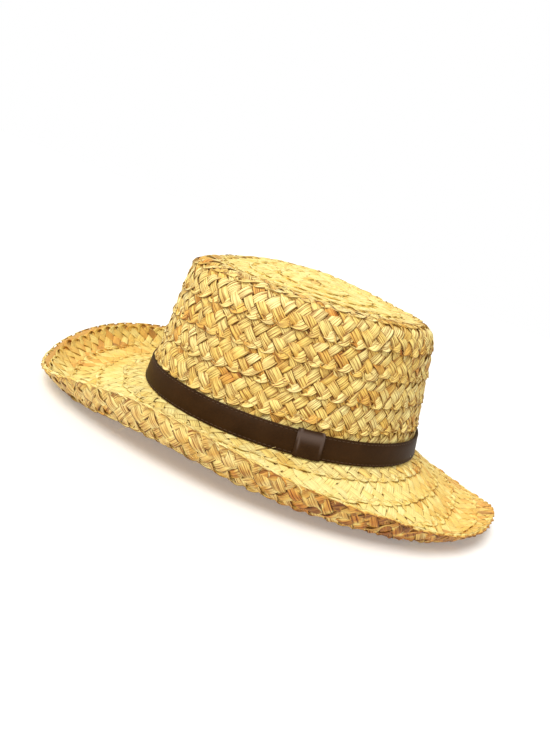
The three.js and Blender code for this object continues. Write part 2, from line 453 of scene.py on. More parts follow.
@dataclass
class Plait:
    """Flat plait of five ribbons, laid in a spiral from the tip to the rim."""

    surface: Surface
    form: HatForm

    # Spiral
    width: float = 27.5
    strands: int = 5
    half_period: float = 4.9
    pitch: float = 18.17
    end_angle: float = math.radians(85.0)
    start: float = 3.0
    tail: float = 1.9
    sway: float = 0.9
    sway_step: float = 21.0
    sway_end: float = 9.0
    samples: int = 12000

    # Ribbons and their weave
    ribbon_width: float = 7.5
    ribbon_thick: float = 0.8
    weave: float = 0.55
    shingle: float = 0.45
    brim_shingle: float = 0.2
    proud: float = 1.0
    turn: float = 1.3
    pinch: float = 0.62
    dips: tuple[int, int] = (1, 3)
    segments: int = 4
    across: tuple[float, ...] = (-1.0, -0.72, 0.0, 0.72, 1.0, 0.72, 0.0, -0.72)
    thick: tuple[float, ...] = (0.0, -0.9, -1.0, -0.9, 0.0, 0.9, 1.0, 0.9)

    # Unevenness, and the crossings from one random knot to the next
    uneven_width: float = 0.26
    uneven_side: float = 0.75
    uneven_height: float = 0.3
    uneven_twist: float = 0.26
    uneven_reach: float = 1.3
    uneven_rise: float = 0.5
    knots: tuple[tuple[str, float], ...] = (
        ("width", 2.6), ("side", 2.0), ("height", 1.4), ("roll", 1.1), ("tone", 9.0),
    )

    # Tones, from 0 for pale to 1 for brown, some of them painted light and shade
    float_spread: tuple[float, float] = (1.7, 2.2)
    float_tone: float = 0.66
    least_tone: float = 0.03
    slow_tone: float = 0.14
    # Painted shade: ribbons that run back across the plait are browner
    returning_painted_shade: float = 0.14
    middle_tone: float = 0.39
    evened: float = 0.4
    browned: float = 0.22
    inner_browned: float = 0.55
    # Painted light paling the brim's near side
    painted_light_near: float = 0.3
    # Painted shade browning the underside of the front brim
    painted_under_shade: float = 0.52
    underside: tuple[float, float] = (-0.1, 0.2)

    # Where the plait lies calm, and how much flatter it is there
    pressed: float = 0.74
    flattened: float = 0.25
    roll_rows: tuple[float, float] = (48.0, 26.0)
    edge_rows: tuple[float, float] = (26.0, 12.0)
    edge_relief: float = 0.45
    near_angle: float = math.radians(-120.0)
    near_reach: tuple[float, float] = (0.15, 0.75)
    # Where the painted shade under the front brim lies
    under_shade_angle: float = math.radians(-52.0)
    under_shade_reach: tuple[float, float] = (0.4, 0.9)

    # Map for baking
    map_margin: float = 0.04
    map_shape: float = 2.1
    cap_reach: float = 0.2
    cap_inner: float = 0.45

    def __post_init__(self) -> None:
        """Lays the spiral's centre line and measures along it."""
        full = 2 * math.pi
        self.column = self.width / self.strands
        self.slant = math.hypot(self.half_period, self.column)
        last = self.form.rim - (self.width - self.turn * self.column) / 2
        climb = full * (last - self.start) / self.pitch
        self.turn_end = climb + full
        self.turns = np.linspace(0.0, self.turn_end, self.samples)
        self.centre = np.minimum(self.start + self.pitch * self.turns / full, last)
        line, _ = self.surface.at(self.angle(self.turns), self.centre)
        steps = np.linalg.norm(np.diff(line, axis=0), axis=1) / MM
        self.along = np.concatenate(([0.0], np.cumsum(steps)))
        self.sunk = self.tail * np.clip((self.turns - climb) / full, 0.0, 1.0)
        self.rng = np.random.default_rng(SEED)
        swaying = smooth(last - self.centre, 0.0, self.sway_end)
        self.centre += self.sway * wander(self.rng, self.along, self.sway_step) * swaying
        self.noise = [self.strand_noise() for _ in range(self.strands)]
        self.laid: dict[str, list[dict[str, np.ndarray]]] = {}

    def angle(self, turn: np.ndarray) -> np.ndarray:
        """Angle from the front at a turn of the spiral, which runs clockwise seen from above."""
        return self.end_angle + self.turn_end - turn

    def strand_noise(self) -> dict[str, np.ndarray]:
        """Unevenness of one ribbon by station, over the whole length of the plait.

        Returns:
            The slow wanders, the tone of each float, and the reach and rise of each edge.
        """
        units = self.along[-1] / self.half_period + 2 * self.strands
        places = np.arange(int(units * self.segments)) / self.segments
        floats = self.rng.beta(*self.float_spread, int(units) + 2)
        edges = self.rng.uniform(-1.0, 1.0, (2, int(units / self.strands) + 2))
        slow = {key: wander(self.rng, places, step) for key, step in self.knots}
        return {**slow, "float": floats, "edge": edges}

    def station_range(self, strand: int, course: Course) -> tuple[int, int]:
        """First and last station of a ribbon within a course.

        Args:
            strand: Number of the ribbon.
            course: The stretch of plait.

        Returns:
            The two station numbers.
        """
        full = 2 * math.pi
        ends = [max(self.turn_end - full * t, 0.0) for t in (course.last_turn, course.first_turn)]
        places = np.interp(ends, self.turns, self.along) / self.half_period
        offset = self.lag(strand)
        first, last = (round((place + offset) * self.segments) for place in places)
        lead = round((offset + 1) * self.segments)
        trail = round((self.along[-1] / self.half_period + offset - 1) * self.segments)
        return max(first, lead), min(last, trail)

    def ribbon(self, strand: int, course: Course) -> dict[str, np.ndarray]:
        """Rings of one ribbon within a course.

        Args:
            strand: Number of the ribbon.
            course: The stretch of plait.

        Returns:
            Points by station and ring place, with the values that the finish reads.
        """
        first, last = self.station_range(strand, course)
        stations = np.arange(first, last + 1)
        noise = {key: self.noise[strand][key][stations] for key, _ in self.knots}
        unit = stations / self.segments
        along = (unit - self.lag(strand)) * self.half_period
        lay = self.lay(along)
        flatter = 1 - self.pressed * lay.calm
        run = np.mod(unit, self.strands)
        inward = smooth(np.minimum(run, self.strands - run), 0.0, self.turn)
        over = np.cos(math.pi * np.clip(run, 1.0, self.strands - 1.0)) * inward
        edge = np.round(unit / self.strands).astype(int)
        reach, rise = self.noise[strand]["edge"][:, edge] * (1 - inward)
        side, flat, stand = self.section(unit, inward, noise, lay)
        across = self.lie(unit) + self.uneven_side * noise["side"] + self.uneven_reach * reach
        heading = np.stack((np.gradient(along), np.gradient(self.lie(unit))), -1)
        heading /= np.linalg.norm(heading, axis=-1, keepdims=True)
        place_along = along[:, None] - heading[:, 1:] * flat
        place_across = across[:, None] + heading[:, :1] * flat
        relief = self.weave * over + self.uneven_height * noise["height"] + self.uneven_rise * rise
        shingle = self.shingle + (self.brim_shingle - self.shingle) * lay.on_brim
        slope = shingle[:, None] * (2 * place_across / self.width - 1)
        height = self.proud + (relief * flatter)[:, None] + stand + slope
        tone, calm = self.shade(strand, unit, noise["tone"], lay, stand)
        return {
            "points": self.on_hat(place_along, place_across, height),
            "along": np.broadcast_to(unit[:, None] * self.slant, side.shape),
            "side": side,
            "depth": np.broadcast_to(over[:, None], side.shape),
            "tone": tone,
            "rim": np.broadcast_to(np.abs(self.across), side.shape),
            "calm": calm,
        }

    def lag(self, strand: int) -> int:
        """Crossings by which a ribbon starts before the plait does."""
        return 2 * (self.strands - 1 - strand)

    def section(
        self, unit: np.ndarray, inward: np.ndarray, noise: dict[str, np.ndarray], lay: Lay
    ) -> tuple[np.ndarray, np.ndarray, np.ndarray]:
        """Section of a ribbon at each station, twisted over at the plait's edges.

        Args:
            unit: Crossings passed.
            inward: From 0 at the plait's edges to 1 away from them.
            noise: Slow wanders of the ribbon.
            lay: Where the stations are on the hat.

        Returns:
            By station and ring place: the distance from the ribbon's middle line along its own width, and
            the distances beside that line and above it once the ribbon is twisted.
        """
        edge = np.round(unit / self.strands)
        past = (unit - edge * self.strands) / self.turn
        flatter = 1 - self.pressed * lay.calm
        twist = math.pi * (edge - 1 + smooth(past, -1.0, 1.0))
        twist = twist + self.uneven_twist * flatter * noise["roll"]
        half = self.ribbon_width / 2 * (1 + self.uneven_width * noise["width"])
        half *= 1 - self.pinch * (1 - inward)
        side = np.outer(half, self.across)
        thick = self.ribbon_thick / 2 * np.array(self.thick)
        cosine, sine = np.cos(twist)[:, None], np.sin(twist)[:, None]
        flat = cosine * side - sine * thick
        stand = sine * side + cosine * thick
        stand *= 1 - self.flattened * lay.calm[:, None]
        return side, flat, stand

    def on_hat(self, along: np.ndarray, across: np.ndarray, height: np.ndarray) -> np.ndarray:
        """Points on the hat from places on the flat plait.

        Args:
            along: Distances along the plait.
            across: Distances from its inner edge.
            height: Heights above the hat's middle surface, before the plait's tail sinks.

        Returns:
            The points, in metres.
        """
        turn = np.interp(along, self.along, self.turns)
        distance = np.interp(turn, self.turns, self.centre) + across - self.width / 2
        angle = self.angle(turn) + np.where(distance < 0, math.pi, 0.0)
        point, normal = self.surface.at(angle, np.abs(distance))
        height = height - np.interp(turn, self.turns, self.sunk)
        return point + normal * height[..., None] * MM

    def shade(
        self, strand: int, unit: np.ndarray, slow: np.ndarray, lay: Lay, stand: np.ndarray
    ) -> tuple[np.ndarray, np.ndarray]:
        """Tone and calm of a ribbon's surface, which differ between its upper side and its underside, with
        painted shade browning the underside of the front brim.

        Args:
            strand: Number of the ribbon.
            unit: Crossings passed at each station.
            slow: Slow wander along the ribbon.
            lay: Where the stations are on the hat.
            stand: Distances above the ribbon's middle line, by station and ring place.

        Returns:
            Tones and calms from 0 to 1, by station and ring place.
        """
        tone = self.tone(strand, unit, slow) - self.middle_tone
        tone = self.middle_tone + tone * (1 - self.evened * lay.calm) + lay.tint_and_painted_light
        below = smooth(-stand, *self.underside)
        # Painted shade: the underside of the front brim is made browner, where shadow falls
        tone = tone[:, None] + self.painted_under_shade * (lay.on_brim * lay.under_shade_front)[:, None] * below
        brim_calm = lay.on_brim[:, None] * (1 - lay.on_near_side[:, None] * below)
        calm = np.maximum(lay.on_tip[:, None], brim_calm)
        return np.clip(tone, 0.0, 1.0), calm

    def lay(self, along: np.ndarray) -> Lay:
        """What the plait is like at places along it.

        Args:
            along: Distances along the plait.

        Returns:
            The values of each place.
        """
        form = self.form
        turn = np.interp(along, self.along, self.turns)
        centre = np.interp(turn, self.turns, self.centre)
        on_tip = 1 - smooth(centre, form.tip_span - self.width / 2, form.tip_span)
        on_brim = smooth(centre, form.headline - self.width, form.headline + self.width)
        outer, on_edge = (
            smooth(centre, *(form.rim - row for row in rows)) for rows in (self.roll_rows, self.edge_rows)
        )
        on_near_side = smooth(np.cos(self.angle(turn) - self.near_angle), *self.near_reach)
        under_shade_front = smooth(np.cos(self.angle(turn) - self.under_shade_angle), *self.under_shade_reach)
        rough = np.maximum(on_near_side * outer, self.edge_relief * on_edge)
        calm = np.maximum(on_tip, on_brim * (1 - rough))
        brown = self.browned * (self.inner_browned + (1 - self.inner_browned) * outer)
        # Painted light: the brim's near side, which the lamps light, is made paler
        tint_and_painted_light = brown - self.painted_light_near * on_near_side
        return Lay(on_tip, on_brim, on_near_side, under_shade_front, calm, on_brim * tint_and_painted_light)

    def lie(self, unit: np.ndarray) -> np.ndarray:
        """Distance of a ribbon from the plait's inner edge, which it swings away from in a curve.

        Args:
            unit: Crossings passed.

        Returns:
            The distances.
        """
        run = np.mod(unit, self.strands)
        near = np.minimum(run, self.strands - run)
        swung = np.where(near > self.turn, near, (near**2 + self.turn**2) / (2 * self.turn))
        phase = np.mod(unit, 2 * self.strands)
        outer = np.abs(phase - self.strands) < self.strands / 2
        return self.column * np.where(outer, self.strands - swung, swung)

    def tone(self, strand: int, unit: np.ndarray, slow: np.ndarray) -> np.ndarray:
        """Tone of a ribbon, nearly even on each float and changing where it dips under, browner as painted
        shade on ribbons that run back across the plait.

        Args:
            strand: Number of the ribbon.
            unit: Crossings passed at each station.
            slow: Slow wander along the ribbon.

        Returns:
            Tones from 0 to 1.
        """
        run = np.floor(unit / self.strands).astype(int)
        place = unit - run * self.strands
        number = 2 * run + np.searchsorted(self.dips, place, side="right")
        floats = self.noise[strand]["float"][number]
        returning = np.mod(unit, 2 * self.strands) > self.strands
        tone = self.float_tone * floats + self.least_tone
        # Painted shade on the ribbons running back, as light falls on them less
        tone = tone + self.slow_tone * slow + self.returning_painted_shade * returning
        return np.clip(tone, 0.0, 1.0)

    def build(self, course: Course) -> bpy.types.Object:
        """Joined mesh of the five ribbons of a course.

        Args:
            course: The stretch of plait.

        Returns:
            The piece, with its attributes and its map for baking.
        """
        ring = len(self.across)
        parts = [self.ribbon(strand, course) for strand in range(self.strands)]
        self.laid[course.name] = parts
        faces = []
        first = 0
        for part in parts:
            faces.extend(tube_faces(first, len(part["side"]), ring))
            first += part["side"].size
        points = np.concatenate([part["points"].reshape(-1, 3) for part in parts])
        piece = mesh_object(course.name, points, faces)
        for number, part in enumerate(parts):
            part["number"] = np.full(part["side"].shape, float(number))
        for key in ("along", "side", "depth", "tone", "rim", "calm", "number"):
            values = np.concatenate([part[key].ravel() for part in parts])
            attribute = piece.data.attributes.new(key, "FLOAT", "POINT")
            attribute.data.foreach_set("value", values.astype(np.float32))
        self.lay_bake_map(piece, [len(part["side"]) for part in parts])
        return piece

    def lay_bake_map(self, piece: bpy.types.Object, stations: list[int]) -> None:
        """Lays every segment of the ribbons in rows of a square map, none over another.

        Args:
            piece: The joined mesh.
            stations: Number of rings of each ribbon.
        """
        ring = len(self.across)
        cells = sum(stations)
        tall = (self.ribbon_width * self.map_shape) / (self.slant / self.segments)
        rows = max(round(math.sqrt(cells / tall)), 1)
        per_row = math.ceil(cells / rows)
        inside = 1 - 2 * self.map_margin
        maps = []
        cell = 0
        steps = np.arange(ring)
        for count in stations:
            numbers = np.arange(cell, cell + count - 1)
            left = (numbers % per_row)[:, None] / per_row
            low = (numbers // per_row)[:, None] / rows
            bottom = low + (self.map_margin + inside * steps / ring) / rows
            top = low + (self.map_margin + inside * (steps + 1) / ring) / rows
            right = left + 1 / per_row
            left, right = (np.broadcast_to(v, bottom.shape) for v in (left, right))
            corners = [(left, bottom), (left, top), (right, top), (right, bottom)]
            quads = np.stack([np.stack(c, -1) for c in corners], 2)
            maps.append(quads.reshape(-1, 2))
            end = cell + count - 1
            turn = 2 * math.pi * steps / ring
            spot = np.array([(end % per_row + 0.5) / per_row, (end // per_row + 0.5) / rows])
            spread = np.stack((np.cos(turn) / per_row, np.sin(turn) / rows), -1) * self.cap_reach
            maps.extend((spot + spread * self.cap_inner, spot + spread))
            cell += count
        layer = piece.data.uv_layers.new(name=BAKE_MAP)
        layer.data.foreach_set("uv", np.concatenate(maps).astype(np.float32).ravel())


@dataclass
class Fibres:
    """Loose fibres split from the ribbons, which stand a little off them."""

    plait: Plait
    share: float = 0.02
    loose: float = 0.12
    upper: float = 0.5
    arched: float = 0.6
    curl: float = 1.5
    drift: float = 0.5
    taper: float = 0.6
    look_ahead: int = 3
    stations: int = 5
    sides: int = 4
    length: tuple[float, float] = (4.0, 13.0)
    rise: tuple[float, float] = (0.2, 1.3)
    bow: float = 2.2
    radius: tuple[float, float] = (0.09, 0.2)

    def build(self, course: Course) -> bpy.types.Object:
        """Joined mesh of the fibres on one course.

        Args:
            course: The stretch of plait.

        Returns:
            The piece.
        """
        rng = np.random.default_rng(SEED + round(course.last_turn))
        laid = self.plait.laid[course.name]
        middle = len(self.plait.across) // 4
        top = np.concatenate([part["points"][: -self.look_ahead, -middle] for part in laid])
        under = np.concatenate([part["points"][: -self.look_ahead, middle] for part in laid])
        beyond = np.concatenate([part["points"][self.look_ahead :, -middle] for part in laid])
        chosen = rng.choice(len(top), round(len(top) * self.share), replace=False)
        face = np.where(rng.random(len(chosen)) < self.upper, 1.0, -1.0)[:, None]
        root = np.where(face > 0, top[chosen], under[chosen])
        normal = face * (top[chosen] - under[chosen])
        normal /= np.linalg.norm(normal, axis=-1, keepdims=True)
        ahead = beyond[chosen] - top[chosen]
        ahead /= np.linalg.norm(ahead, axis=-1, keepdims=True)
        side = np.cross(ahead, normal)
        t = np.linspace(0.0, 1.0, self.stations)
        length = rng.uniform(*self.length, len(chosen))[:, None]
        rise = rng.uniform(*self.rise, len(chosen))[:, None]
        loose = 1 + (rng.random(len(chosen)) < self.loose)[:, None]
        arch = np.where(rng.random(len(chosen))[:, None] < self.arched, 4 * t * (1 - t), t**self.curl)
        bow = rng.uniform(-self.bow, self.bow, len(chosen))[:, None] * t**2
        drift = rng.uniform(-self.drift, self.drift, len(chosen))[:, None] * t * length
        steps = ((t * length * loose, ahead), (rise * arch * loose, normal), (bow + drift, side))
        paths = root[:, None] + sum(size[..., None] * way[:, None] for size, way in steps) * MM
        radii = rng.uniform(*self.radius, len(chosen))[:, None] * (1 - self.taper * t) * MM
        name = course.name.replace("plait", "fibres")
        return tubes_object(name, paths, normal, radii, self.sides)


class Nodes:
    """Short way to add and join the nodes of one material."""

    def __init__(self, name: str) -> None:
        """Starts a material with its shader.

        Args:
            name: Name of the material.
        """
        self.material = bpy.data.materials.new(name)
        self.material.use_nodes = True
        self.tree = self.material.node_tree
        self.shader = self.tree.nodes["Principled BSDF"]

    def add(self, kind: str, **settings: object) -> bpy.types.Node:
        """Adds a node.

        Args:
            kind: Blender's name of the node, without its ShaderNode start.
            settings: Properties of the node.

        Returns:
            The node.
        """
        node = self.tree.nodes.new("ShaderNode" + kind)
        for key, value in settings.items():
            setattr(node, key, value)
        return node

    def link(self, source: bpy.types.NodeSocket, target: bpy.types.NodeSocket) -> None:
        """Joins two sockets."""
        self.tree.links.new(source, target)

    def attribute(self, name: str) -> bpy.types.NodeSocket:
        """Number that the mesh carries under a name."""
        return self.add("Attribute", attribute_name=name).outputs["Fac"]

    def math(self, kind: str, *values: object) -> bpy.types.NodeSocket:
        """Result of a sum on sockets or numbers.

        Args:
            kind: Blender's name of the operation.
            values: Two or three sockets or numbers, as the operation asks.

        Returns:
            The result's socket.
        """
        node = self.add("Math", operation=kind)
        for place, value in enumerate(values):
            if isinstance(value, bpy.types.NodeSocket):
                self.link(value, node.inputs[place])
            else:
                node.inputs[place].default_value = value
        return node.outputs[0]

    def ramp(self, factor: bpy.types.NodeSocket, stops: Stops) -> bpy.types.NodeSocket:
        """Colours along a factor.

        Args:
            factor: Socket from 0 to 1.
            stops: Pairs of a place and a colour.

        Returns:
            The colour's socket.
        """
        node = self.add("ValToRGB")
        elements = node.color_ramp.elements
        while len(elements) < len(stops):
            elements.new(0.5)
        for element, (place, colour) in zip(elements, stops):
            element.position = place
            element.color = (*colour, 1.0)
        self.link(factor, node.inputs["Fac"])
        return node.outputs["Color"]

    def mix(self, blend: str, factor: object, first: object, second: object) -> bpy.types.NodeSocket:
        """Mix of two colours.

        Args:
            blend: Blender's name of the way to mix.
            factor: Socket or number.
            first: Socket or colour.
            second: Socket or colour.

        Returns:
            The colour's socket.
        """
        node = self.add("Mix", data_type="RGBA", blend_type=blend)
        for place, value in ((0, factor), (6, first), (7, second)):
            if isinstance(value, bpy.types.NodeSocket):
                self.link(value, node.inputs[place])
            elif place == 0:
                node.inputs[place].default_value = value
            else:
                node.inputs[place].default_value = (*value, 1.0)
        return node.outputs[2]

    def noise(self, vector: bpy.types.NodeSocket, scale: float, detail: float) -> bpy.types.NodeSocket:
        """Noise at a scale.

        Args:
            vector: Socket with the place.
            scale: Scale of the noise.
            detail: Octaves of the noise.

        Returns:
            The noise's factor socket.
        """
        node = self.add("TexNoise")
        node.inputs["Scale"].default_value = scale
        node.inputs["Detail"].default_value = detail
        self.link(vector, node.inputs["Vector"])
        return node.outputs["Fac"]

    def bump(self, height: bpy.types.NodeSocket, strength: float, distance: float) -> None:
        """Gives the shader a bump.

        Args:
            height: Socket with the height.
            strength: Share of the bump.
            distance: Height of the bump, in millimetres.
        """
        node = self.add("Bump")
        node.inputs["Strength"].default_value = strength
        node.inputs["Distance"].default_value = distance * MM
        self.link(height, node.inputs["Height"])
        self.link(node.outputs["Normal"], self.shader.inputs["Normal"])


def srgb(red: int, green: int, blue: int) -> Colour:
    """Linear colour from eight-bit screen values.

    Args:
        red: From 0 to 255.
        green: From 0 to 255.
        blue: From 0 to 255.

    Returns:
        The linear colour.
    """
    parts = (value / 255 for value in (red, green, blue))
    return tuple(v / 12.92 if v <= 0.04045 else ((v + 0.055) / 1.055) ** 2.4 for v in parts)


@dataclass(frozen=True)
class RaffiaFinish:
    """Split raffia: pale to brown ribbons with fine lines along them, painted shade along their edges and
    painted shade where they dip under.
    """

    name: str = "raffia"
    roughness: float = 0.56
    specular: float = 0.3
    tones: Stops = (
        (0.0, srgb(250, 240, 168)),
        (0.38, srgb(245, 226, 140)),
        (0.62, srgb(236, 203, 106)),
        (0.84, srgb(226, 168, 78)),
        (1.0, srgb(170, 126, 64)),
    )
    # Tint of the fibre lines and of the painted shade along ribbon edges
    line_and_shade_tint: Colour = srgb(140, 90, 24)
    # Painted shade where a ribbon dips under another
    recess_shade_tint: Colour = srgb(206, 146, 58)
    lines_along: float = 0.06
    lines_across: float = 1.6
    lines_apart: float = 7.3
    line_detail: float = 3.0
    line_stops: Stops = ((0.36, (1, 1, 1)), (0.48, (0.4, 0.4, 0.4)), (0.6, (0, 0, 0)))
    # Painted shade along each ribbon's side edges
    edge_shade_stops: Stops = ((0.78, (0, 0, 0)), (0.98, (1, 1, 1)))
    line_strength: float = 0.95
    calm_loss: float = 0.62
    recess_shade_strength: float = 0.58
    spot_scale: float = 85.0
    spot_detail: float = 2.0
    spot_share: float = 0.5
    bump: float = 0.4

    def material(self) -> bpy.types.Material:
        """Makes the material, which reads the ribbons' own attributes.

        Returns:
            The material.
        """
        nodes = Nodes(self.name)
        place = nodes.add("CombineXYZ")
        scales = (("along", self.lines_along), ("side", self.lines_across), ("number", self.lines_apart))
        for axis, (key, scale) in zip(place.inputs, scales):
            nodes.link(nodes.math("MULTIPLY", nodes.attribute(key), scale), axis)
        lines = nodes.noise(place.outputs[0], 1.0, self.line_detail)
        shade = nodes.ramp(lines, self.line_stops)
        spots = nodes.noise(nodes.add("TexCoord").outputs["Object"], self.spot_scale, self.spot_detail)
        spots = nodes.math("MULTIPLY", spots, self.spot_share)
        tone = nodes.math("ADD", nodes.attribute("tone"), spots)
        colour = nodes.ramp(nodes.math("SUBTRACT", tone, self.spot_share / 2), self.tones)
        strength = nodes.math("MULTIPLY_ADD", nodes.attribute("calm"), -self.calm_loss, self.line_strength)
        colour = nodes.mix("MULTIPLY", nodes.math("MULTIPLY", shade, strength), colour, self.line_and_shade_tint)
        # Painted shade: dark lines along each ribbon's side edges, where the gaps between ribbons fall in
        # shade
        edge = nodes.ramp(nodes.attribute("rim"), self.edge_shade_stops)
        colour = nodes.mix("MULTIPLY", nodes.math("MULTIPLY", edge, strength), colour, self.line_and_shade_tint)
        # Depth runs from 1 on a float to -1 under one, and the painted shade of the recess where a ribbon
        # dips under from 0 to 1
        recess_shade = nodes.math("MULTIPLY_ADD", nodes.attribute("depth"), -0.5, 0.5)
        recess_shade = nodes.math("MULTIPLY", recess_shade, nodes.math("MULTIPLY", strength, self.recess_shade_strength))
        colour = nodes.mix("MULTIPLY", recess_shade, colour, self.recess_shade_tint)
        nodes.link(colour, nodes.shader.inputs["Base Color"])
        nodes.shader.inputs["Roughness"].default_value = self.roughness
        nodes.shader.inputs["Specular IOR Level"].default_value = self.specular
        nodes.bump(lines, 1.0, self.bump)
        return nodes.material


@dataclass(frozen=True)
class LeatherFinish:
    """Smooth dark leather with a fine grain, and a painted grey sheen where the mesh marks it."""

    name: str
    dark: Colour
    light: Colour
    roughness: float = 0.5
    specular: float = 0.08
    grain_scale: float = 900.0
    grain_detail: float = 4.0
    grain_share: float = 0.4
    cloud_scale: float = 60.0
    cloud_detail: float = 3.0
    colour_span: tuple[float, float] = (0.3, 0.7)
    bump: float = 0.05
    bump_share: float = 0.5
    # Painted sheen: colour of the grey highlight
    painted_sheen: Colour = srgb(108, 94, 90)

    def material(self) -> bpy.types.Material:
        """Makes the material.

        Returns:
            The material.
        """
        nodes = Nodes(self.name)
        place = nodes.add("TexCoord").outputs["Object"]
        grain = nodes.noise(place, self.grain_scale, self.grain_detail)
        cloud = nodes.noise(place, self.cloud_scale, self.cloud_detail)
        clouded = nodes.math("MULTIPLY", cloud, 1 - self.grain_share)
        blend = nodes.math("MULTIPLY_ADD", grain, self.grain_share, clouded)
        colour = nodes.ramp(blend, tuple(zip(self.colour_span, (self.dark, self.light))))
        # Painted sheen: grey highlight where the mesh marks it
        colour = nodes.mix("MIX", nodes.attribute("painted_sheen"), colour, self.painted_sheen)
        nodes.link(colour, nodes.shader.inputs["Base Color"])
        nodes.shader.inputs["Roughness"].default_value = self.roughness
        nodes.shader.inputs["Specular IOR Level"].default_value = self.specular
        cells = nodes.add("TexVoronoi", feature="DISTANCE_TO_EDGE")
        cells.inputs["Scale"].default_value = self.grain_scale
        nodes.link(place, cells.inputs["Vector"])
        nodes.bump(nodes.math("ADD", cells.outputs["Distance"], grain), self.bump_share, self.bump)
        return nodes.material


@dataclass(frozen=True)
class PlainFinish:
    """Even dull finish with a little cloud in its colour, for thread, fibres, cores and the floor."""

    name: str
    colour: Colour
    roughness: float = 0.7
    cloud: float = 0.08
    cloud_scale: float = 300.0
    cloud_detail: float = 2.0
    colour_span: tuple[float, float] = (0.3, 0.7)
    glow: float = 0.0

    def material(self) -> bpy.types.Material:
        """Makes the material.

        Returns:
            The material.
        """
        nodes = Nodes(self.name)
        place = nodes.add("TexCoord").outputs["Object"]
        factor = nodes.noise(place, self.cloud_scale, self.cloud_detail)
        dark = tuple(value * (1 - self.cloud) for value in self.colour)
        colour = nodes.ramp(factor, tuple(zip(self.colour_span, (dark, self.colour))))
        nodes.link(colour, nodes.shader.inputs["Base Color"])
        nodes.shader.inputs["Roughness"].default_value = self.roughness
        nodes.shader.inputs["Emission Color"].default_value = (*self.colour, 1.0)
        nodes.shader.inputs["Emission Strength"].default_value = self.glow
        return nodes.material


class Edit:
    """Edit mode on one object, left again at the end of a with block."""

    def __init__(self, piece: bpy.types.Object) -> None:
        """Keeps the object to edit."""
        self.piece = piece

    def __enter__(self) -> None:
        """Enters edit mode with everything selected."""
        bpy.ops.object.select_all(action="DESELECT")
        self.piece.select_set(True)
        bpy.context.view_layer.objects.active = self.piece
        bpy.ops.object.mode_set(mode="EDIT")
        bpy.ops.mesh.select_all(action="SELECT")

    def __exit__(self, *problem: object) -> None:
        """Leaves edit mode."""
        bpy.ops.object.mode_set(mode="OBJECT")


def apply_modifier(piece: bpy.types.Object, kind: str, **settings: object) -> None:
    """Adds a modifier to the active object and applies it.

    Args:
        piece: The object.
        kind: Blender's name of the modifier.
        settings: Properties of the modifier.
    """
    modifier = piece.modifiers.new(kind.title(), kind)
    for key, value in settings.items():
        setattr(modifier, key, value)
    bpy.context.view_layer.objects.active = piece
    bpy.ops.object.modifier_apply(modifier=modifier.name)


@dataclass
class Core:
    """Sheet of straw inside the plait, which closes the small gaps between its ribbons; its darker colour is
    painted shade seen in those gaps.
    """

    surface: Surface
    name: str
    inner: float
    outer: float
    level: float = 0.4
    thick: float = 0.3
    columns: int = 180
    spacing: float = 4.0
    merge: float = 0.05

    def build(self) -> bpy.types.Object:
        """Lays a grid on the hat's surface, closes its seam and gives it its thickness.

        Returns:
            The piece.
        """
        rows = round((self.outer - self.inner) / self.spacing)
        bpy.ops.object.select_all(action="DESELECT")
        bpy.ops.mesh.primitive_grid_add(x_subdivisions=self.columns, y_subdivisions=rows, size=1.0)
        piece = bpy.context.object
        piece.name = self.name
        piece.data.name = self.name
        places = np.empty(3 * len(piece.data.vertices))
        piece.data.vertices.foreach_get("co", places)
        around, outward = places.reshape(-1, 3).T[:2] + 0.5
        distance = self.inner + (self.outer - self.inner) * outward
        point, normal = self.surface.at(2 * math.pi * around, distance)
        piece.data.vertices.foreach_set("co", (point + normal * self.level * MM).ravel())
        with Edit(piece):
            bpy.ops.mesh.remove_doubles(threshold=self.merge * MM)
            bpy.ops.mesh.normals_make_consistent(inside=False)
        apply_modifier(piece, "SOLIDIFY", thickness=self.thick * MM, offset=0.0)
        bpy.ops.object.shade_smooth()
        return piece


@dataclass(frozen=True)
class SheenPlaces:
    """Where a grey sheen is painted on the keeper's leather as a highlight: heights and distances from its
    ends, and how much.
    """

    top_sheen_starts: tuple[float, float] = (8.0, 14.0)
    top_sheen_ends: tuple[float, float] = (15.0, 17.2)
    top_sheen: float = 0.55
    crease_place: float = 1.5
    crease_half: float = 0.9
    crease_starts: tuple[float, float] = (2.0, 10.0)
    crease_sheen: float = 0.75


